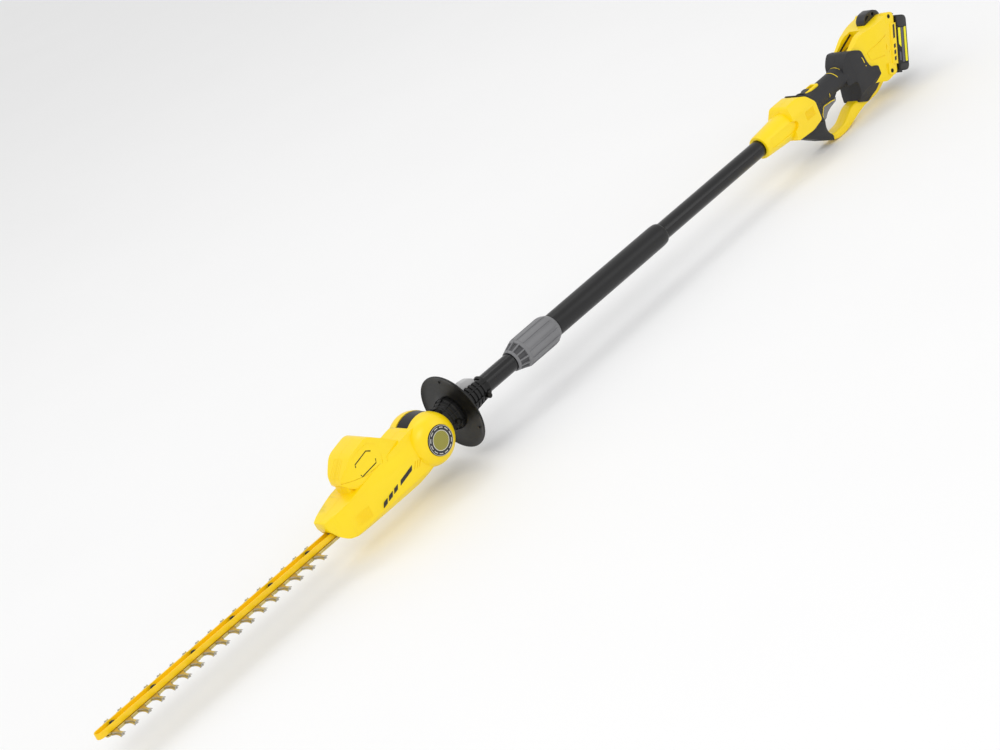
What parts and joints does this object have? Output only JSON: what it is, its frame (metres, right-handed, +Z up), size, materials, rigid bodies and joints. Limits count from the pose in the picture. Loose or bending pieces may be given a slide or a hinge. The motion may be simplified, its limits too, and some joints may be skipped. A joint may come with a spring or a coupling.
{
  "type": "pole hedge trimmer",
  "caption": "Long-pole cordless hedge trimmer: pivoting double-sided blade head, round guard, two-part pole with locking collar, loop handle with trigger, slide-on battery.",
  "frame": {"origin": "middle of the lowest face of the tool's box, below the pole's axis", "axes": "+X from the blade's tip along the pole to the battery, +Z up through the top of the handle, -Y the side of the left shells"},
  "size_m": [1.9486, 0.1264, 0.156],
  "materials": {
    "yellow_plastic": "moulded, satin",
    "yellow_paint": "powder coat, satin",
    "black_rubber": "soft touch, fine grain",
    "black_plastic": "moulded, fine grain",
    "black_tube": "gloss coat",
    "grey_plastic": "moulded, satin",
    "blade_steel": "ground",
    "dark_steel": "oxide",
    "cast_alloy": "as cast",
    "motor_metal": "satin",
    "cell_wrap": "shrink wrap",
    "olive_badge": "printed disc in a black ring",
    "circuit_board": "coated",
    "wire_cover": "smooth"
  },
  "bodies": {
    "handle": {"handle_shell_left": "yellow_plastic", "handle_shell_right": "yellow_plastic", "grip_rubber": "black_rubber", "leg_rubber_left": "black_rubber", "leg_rubber_right": "black_rubber", "bell_rubber_left": "black_rubber", "bell_rubber_right": "black_rubber", "trigger_pin": "dark_steel", "trigger_spring": "dark_steel", "switch_module": "black_plastic", "lock_bezel": "yellow_plastic", "control_board": "circuit_board", "strap_eye": "grey_plastic", "battery_shoe": "black_plastic", "rear_tube": "black_tube", "pole_sleeve": "black_rubber", "collet": "black_plastic", "rear_wire": "wire_cover", "connector_socket": "black_plastic"},
    "collar": {"collar_nut": "grey_plastic"},
    "trigger": {"trigger": "grey_plastic"},
    "lock_slider": {"lock_off_slider": "grey_plastic"},
    "battery": {"battery_case_front": "black_plastic", "battery_case_back": "black_plastic", "battery_cell_1": "cell_wrap", "battery_cell_2": "cell_wrap", "battery_cell_3": "cell_wrap", "battery_cell_4": "cell_wrap", "battery_cell_5": "cell_wrap"},
    "battery_button": {"battery_release_button": "grey_plastic"},
    "front_pole": {"front_tube": "black_tube", "front_wire": "wire_cover", "connector_plug": "black_plastic", "coupler_left": "black_plastic", "coupler_right": "black_plastic", "guard_disc": "black_plastic", "pivot_knuckle": "black_plastic", "pivot_bolt": "dark_steel"},
    "pivot_release": {"pivot_release_slider": "grey_plastic", "pivot_lock_pin": "dark_steel"},
    "head": {"head_shell_left": "yellow_plastic", "head_shell_right": "yellow_plastic", "hub_badge_left": "olive_badge", "hub_badge_right": "olive_badge", "motor": "motor_metal", "gear_case": "cast_alloy", "gear_case_cover": "cast_alloy", "bottom_plate": "cast_alloy", "blade_rail": "yellow_paint", "rail_bolt_1": "dark_steel", "rail_bolt_2": "dark_steel", "rail_bolt_3": "dark_steel", "rail_bolt_4": "dark_steel", "rail_bolt_5": "dark_steel", "rail_bolt_6": "dark_steel"},
    "drive_gear": {"drive_gear": "dark_steel"},
    "motor_pinion": {"motor_pinion": "dark_steel"},
    "upper_blade": {"upper_blade": "blade_steel"},
    "lower_blade": {"lower_blade": "blade_steel"}
  },
  "joints": [
    {"name": "pole_pull_out", "type": "slide", "parent": "handle", "child": "front_pole", "axis": [-1, 0, 0], "range_m": [0, 0.24]},
    {"name": "collar_turn", "type": "hinge", "parent": "handle", "child": "collar", "pos_m": [-0.0493, 0, 0.082], "axis": [1, 0, 0], "range_deg": [0, 300]},
    {"name": "head_pivot", "type": "hinge", "parent": "front_pole", "child": "head", "pos_m": [-0.3083, 0, 0.082], "axis": [0, 1, 0], "range_deg": [-90, 90]},
    {"name": "pivot_release_pull", "type": "slide", "parent": "front_pole", "child": "pivot_release", "axis": [1, 0, 0], "range_m": [0, 0.008], "stiffness_N_per_m": 400, "springref_m": -0.004},
    {"name": "drive_gear_turn", "type": "hinge", "parent": "head", "child": "drive_gear", "pos_m": [-0.4543, 0, 0.082], "axis": [0, 0, 1], "range_deg": [-90.24, 90.24]},
    {"name": "motor_pinion_turn", "type": "hinge", "parent": "head", "child": "motor_pinion", "pos_m": [-0.4293, 0, 0.082], "axis": [0, 0, 1], "range_deg": [-338, 338]},
    {"name": "upper_blade_slide", "type": "slide", "parent": "head", "child": "upper_blade", "axis": [1, 0, 0], "range_m": [-0.006, 0.006]},
    {"name": "lower_blade_slide", "type": "slide", "parent": "head", "child": "lower_blade", "axis": [1, 0, 0], "range_m": [-0.00601, 0.00601]},
    {"name": "trigger_pull", "type": "hinge", "parent": "handle", "child": "trigger", "pos_m": [0.7007, 0, 0.075], "axis": [0, -1, 0], "range_deg": [0, 6], "stiffness_Nm_per_rad": 2, "springref_deg": -4.58, "deforming": ["trigger_spring"]},
    {"name": "lock_off_slide", "type": "slide", "parent": "handle", "child": "lock_slider", "axis": [1, 0, 0], "range_m": [0, 0.006], "stiffness_N_per_m": 300, "springref_m": -0.003},
    {"name": "battery_slide", "type": "slide", "parent": "handle", "child": "battery", "axis": [0.4147, 0, 0.91], "range_m": [0, 0.09]},
    {"name": "battery_button_press", "type": "slide", "parent": "battery", "child": "battery_button", "axis": [-0.4147, 0, -0.91], "range_m": [0, 0.002], "stiffness_N_per_m": 500, "springref_m": -0.003}
  ],
  "couplings": [
    {"joint": "drive_gear_turn", "follows": "upper_blade_slide", "rad_per_m": 261.8},
    {"joint": "motor_pinion_turn", "follows": "upper_blade_slide", "rad_per_m": -981.75},
    {"joint": "lower_blade_slide", "follows": "upper_blade_slide", "ratio": -1}
  ]
}
